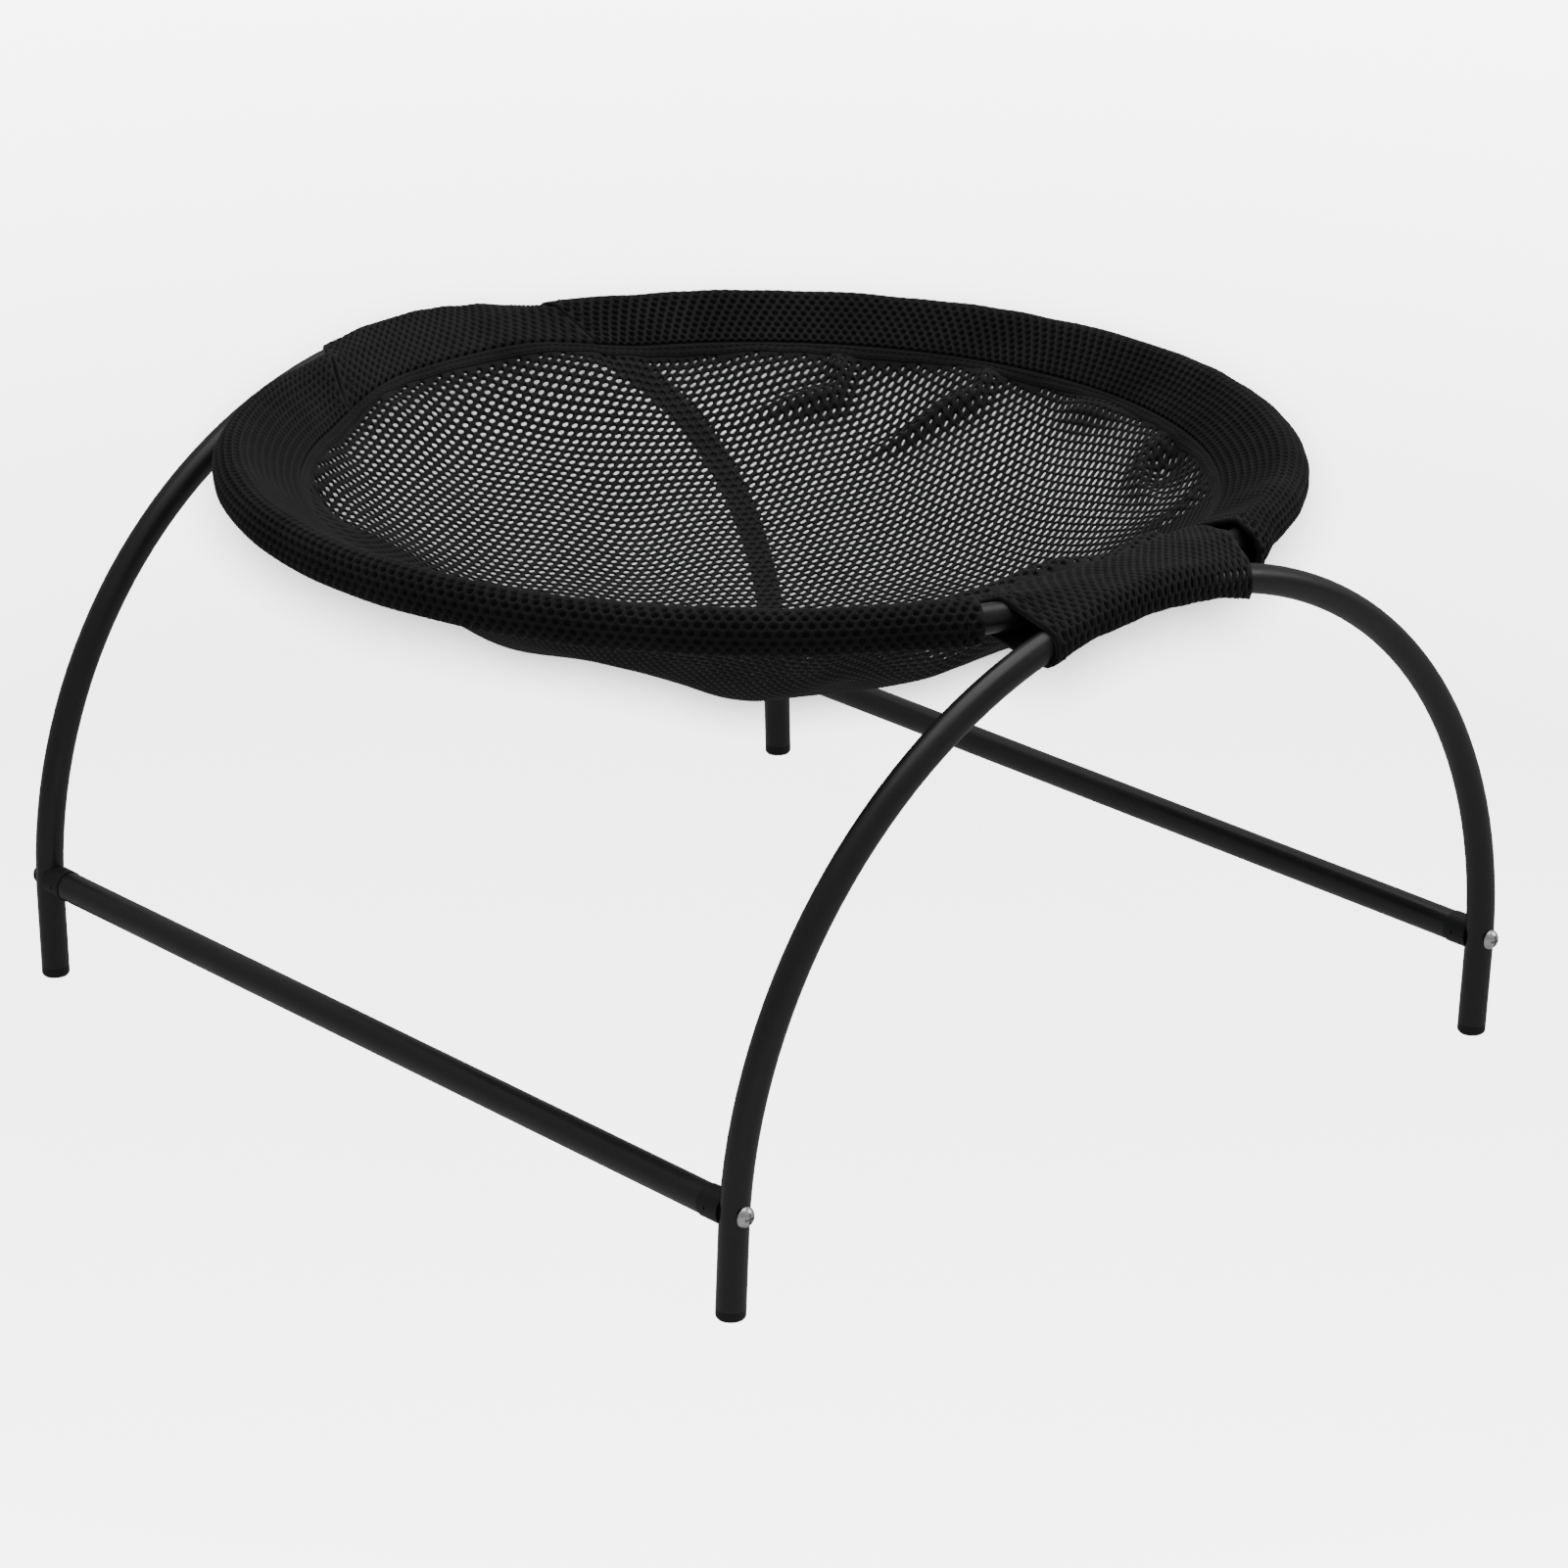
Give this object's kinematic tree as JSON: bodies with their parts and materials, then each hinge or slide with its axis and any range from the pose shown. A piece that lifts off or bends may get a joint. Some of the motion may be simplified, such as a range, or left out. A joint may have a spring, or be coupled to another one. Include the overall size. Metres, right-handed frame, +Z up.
{
  "type": "raised round pet bed",
  "caption": "Round mesh sling bed for a small pet, hung from a tube ring that two arched tube stands and two crossbars carry.",
  "frame": {"origin": "on the floor, under the middle of the ring", "axes": "+Z up; +Y along the crossbars, from the front arch to the rear arch; +X to the right, along the span of the arches"},
  "size_m": [0.4504, 0.4776, 0.255],
  "materials": {
    "frame_coating": "satin black powder coat",
    "fitting_plastic": "fine moulded grain",
    "screw_steel": "zinc plated",
    "rim_cloth": "doubled warp knit mesh",
    "sling_net": "open warp knit net"
  },
  "bodies": {
    "root": {"front_arch": "frame_coating", "rear_arch": "frame_coating", "left_crossbar": "frame_coating", "right_crossbar": "frame_coating", "ring_left_half": "frame_coating", "ring_right_half": "frame_coating", "front_left_foot_cap": "fitting_plastic", "front_right_foot_cap": "fitting_plastic", "rear_left_foot_cap": "fitting_plastic", "rear_right_foot_cap": "fitting_plastic", "front_left_saddle": "fitting_plastic", "front_right_saddle": "fitting_plastic", "rear_left_saddle": "fitting_plastic", "rear_right_saddle": "fitting_plastic", "front_left_bar_plug": "fitting_plastic", "front_right_bar_plug": "fitting_plastic", "rear_left_bar_plug": "fitting_plastic", "rear_right_bar_plug": "fitting_plastic", "frame_screws": "screw_steel", "plug_nuts": "screw_steel", "left_rim_pocket": "rim_cloth", "right_rim_pocket": "rim_cloth", "front_arch_sleeve": "rim_cloth", "rear_arch_sleeve": "rim_cloth", "net_sling": "sling_net"}
  },
  "joints": []
}
